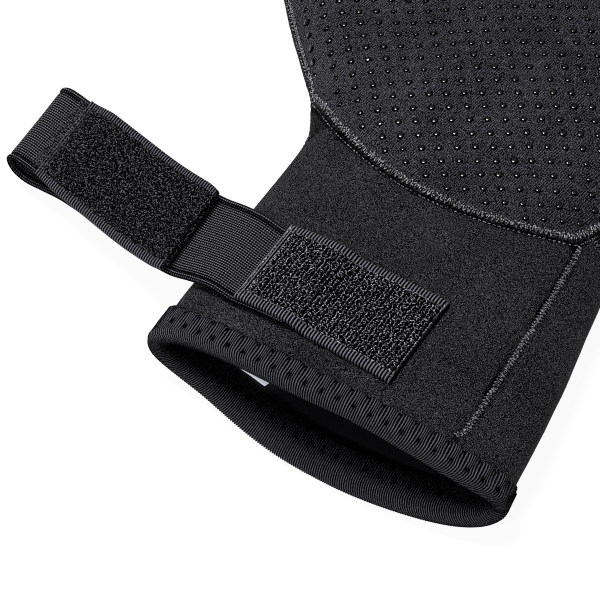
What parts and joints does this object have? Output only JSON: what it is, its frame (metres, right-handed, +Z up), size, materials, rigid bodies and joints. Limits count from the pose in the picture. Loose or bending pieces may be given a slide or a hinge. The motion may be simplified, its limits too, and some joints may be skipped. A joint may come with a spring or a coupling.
{
  "type": "diving glove",
  "caption": "Left-hand neoprene diving glove lying palm side up, with a dotted grip palm, bound cuff and hook-and-loop wrist strap.",
  "frame": {"origin": "middle of the glove's box, on the surface that it lies on", "axes": "+Y from the cuff's mouth to the fingertips, +Z up out of the palm side, -X towards the thumb and the strap"},
  "size_m": [0.1618, 0.2556, 0.0282],
  "materials": {
    "neoprene": "matte",
    "palm_neoprene": "matte",
    "binding_knit": "satin",
    "hook_tape": "satin",
    "elastic_webbing": "matte",
    "loop_nap": "matte",
    "label_satin": "satin"
  },
  "bodies": {
    "root": {"cuff": "neoprene", "back_panel": "neoprene", "palm_panel": "palm_neoprene", "cuff_binding": "binding_knit", "hook_patch": "hook_tape", "strap": "elastic_webbing", "loop_patch": "loop_nap", "care_label": "label_satin"}
  },
  "joints": []
}
